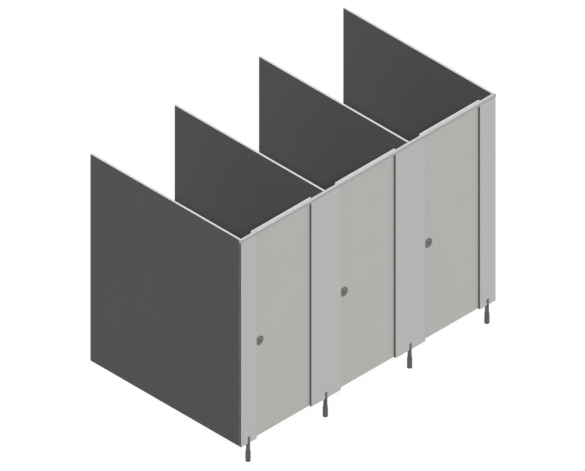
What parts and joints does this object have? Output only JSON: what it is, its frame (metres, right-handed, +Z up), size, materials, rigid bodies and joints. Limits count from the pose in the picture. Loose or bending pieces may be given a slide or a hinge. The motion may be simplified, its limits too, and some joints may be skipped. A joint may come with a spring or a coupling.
{
  "type": "toilet cubicle range",
  "caption": "Row of toilet cubicles with inward-opening doors, partitions fixed to the wall behind, front pilasters on legs under a headrail, hinges and indicator bolts.",
  "frame": {"origin": "on the floor, under the middle of the range's bounding box", "axes": "+X to the right along the doors, +Y from the doors to the wall behind, +Z up"},
  "size_m": [2.623, 1.5606, 2],
  "materials": {
    "partition_board": "laminate-faced board, fine satin texture",
    "pilaster_board": "laminate-faced board, fine satin texture",
    "door_board": "laminate-faced board, fine satin texture",
    "satin_aluminium": "extruded, satin anodised",
    "cap_plastic": "moulded, matt",
    "leg_steel": "turned stainless steel, satin",
    "zinc_steel": "zinc plated",
    "bracket_metal": "powder coated",
    "hinge_steel": "stainless steel, satin",
    "lock_steel": "satin, dark nickel tone",
    "case_plastic": "moulded, fine grain",
    "indicator_paint": "painted disc on a steel spindle",
    "pinion_brass": "machined",
    "rubber": "moulded, matt"
  },
  "bodies": {
    "frame": {"partition_1": "partition_board", "partition_2": "partition_board", "partition_3": "partition_board", "partition_4": "partition_board", "pilaster_1": "pilaster_board", "pilaster_2": "pilaster_board", "pilaster_3": "pilaster_board", "pilaster_4": "pilaster_board", "headrail": "satin_aluminium", "headrail_end_caps": "cap_plastic", "leg_1_clevis": "leg_steel", "leg_1_sleeve": "leg_steel", "leg_2_clevis": "leg_steel", "leg_2_sleeve": "leg_steel", "leg_3_clevis": "leg_steel", "leg_3_sleeve": "leg_steel", "leg_4_clevis": "leg_steel", "leg_4_sleeve": "leg_steel", "leg_levelling_feet": "zinc_steel", "pilaster_brackets": "bracket_metal", "wall_brackets": "bracket_metal", "door_buffers": "rubber", "hinge_pins": "hinge_steel", "hinge_pilaster_leaves_1": "hinge_steel", "strap_keeper_1": "lock_steel", "hinge_pilaster_leaves_2": "hinge_steel", "strap_keeper_2": "lock_steel", "hinge_pilaster_leaves_3": "hinge_steel", "strap_keeper_3": "lock_steel"},
    "hung_door_1": {"door_1": "door_board", "hinge_door_leaves_1": "hinge_steel", "lock_rose_1": "lock_steel", "lock_case_1": "case_plastic", "coat_hook_1": "lock_steel", "coat_hook_buffer_1": "rubber"},
    "turn_1": {"indicator_spindle_1": "indicator_paint", "lock_pinion_1": "pinion_brass", "thumb_turn_1": "lock_steel"},
    "bolt_1": {"slide_bolt_1": "lock_steel"},
    "hung_door_2": {"door_2": "door_board", "hinge_door_leaves_2": "hinge_steel", "lock_rose_2": "lock_steel", "lock_case_2": "case_plastic", "coat_hook_2": "lock_steel", "coat_hook_buffer_2": "rubber"},
    "turn_2": {"indicator_spindle_2": "indicator_paint", "lock_pinion_2": "pinion_brass", "thumb_turn_2": "lock_steel"},
    "bolt_2": {"slide_bolt_2": "lock_steel"},
    "hung_door_3": {"door_3": "door_board", "hinge_door_leaves_3": "hinge_steel", "lock_rose_3": "lock_steel", "lock_case_3": "case_plastic", "coat_hook_3": "lock_steel", "coat_hook_buffer_3": "rubber"},
    "turn_3": {"indicator_spindle_3": "indicator_paint", "lock_pinion_3": "pinion_brass", "thumb_turn_3": "lock_steel"},
    "bolt_3": {"slide_bolt_3": "lock_steel"}
  },
  "joints": [
    {"name": "door_1_swing", "type": "hinge", "parent": "frame", "child": "hung_door_1", "pos_m": [-0.5535, -0.72275, 1.08], "axis": [0, 0, -1], "range_deg": [0, 95], "stiffness_Nm_per_rad": 2},
    {"name": "turn_1_rotate", "type": "hinge", "parent": "hung_door_1", "child": "turn_1", "pos_m": [-1.0985, -0.72975, 1], "axis": [0, -1, 0], "range_deg": [0, 90]},
    {"name": "bolt_1_slide", "type": "slide", "parent": "hung_door_1", "child": "bolt_1", "axis": [-1, 0, 0], "range_m": [0, 0.01885]},
    {"name": "door_2_swing", "type": "hinge", "parent": "frame", "child": "hung_door_2", "pos_m": [0.3135, -0.72275, 1.08], "axis": [0, 0, -1], "range_deg": [0, 95], "stiffness_Nm_per_rad": 2},
    {"name": "turn_2_rotate", "type": "hinge", "parent": "hung_door_2", "child": "turn_2", "pos_m": [-0.2315, -0.72975, 1], "axis": [0, -1, 0], "range_deg": [0, 90]},
    {"name": "bolt_2_slide", "type": "slide", "parent": "hung_door_2", "child": "bolt_2", "axis": [-1, 0, 0], "range_m": [0, 0.01885]},
    {"name": "door_3_swing", "type": "hinge", "parent": "frame", "child": "hung_door_3", "pos_m": [1.1805, -0.72275, 1.08], "axis": [0, 0, -1], "range_deg": [0, 95], "stiffness_Nm_per_rad": 2},
    {"name": "turn_3_rotate", "type": "hinge", "parent": "hung_door_3", "child": "turn_3", "pos_m": [0.6355, -0.72975, 1], "axis": [0, -1, 0], "range_deg": [0, 90]},
    {"name": "bolt_3_slide", "type": "slide", "parent": "hung_door_3", "child": "bolt_3", "axis": [-1, 0, 0], "range_m": [0, 0.01885]}
  ],
  "couplings": [
    {"joint": "bolt_1_slide", "follows": "turn_1_rotate", "m_per_rad": 0.012},
    {"joint": "bolt_2_slide", "follows": "turn_2_rotate", "m_per_rad": 0.012},
    {"joint": "bolt_3_slide", "follows": "turn_3_rotate", "m_per_rad": 0.012}
  ]
}
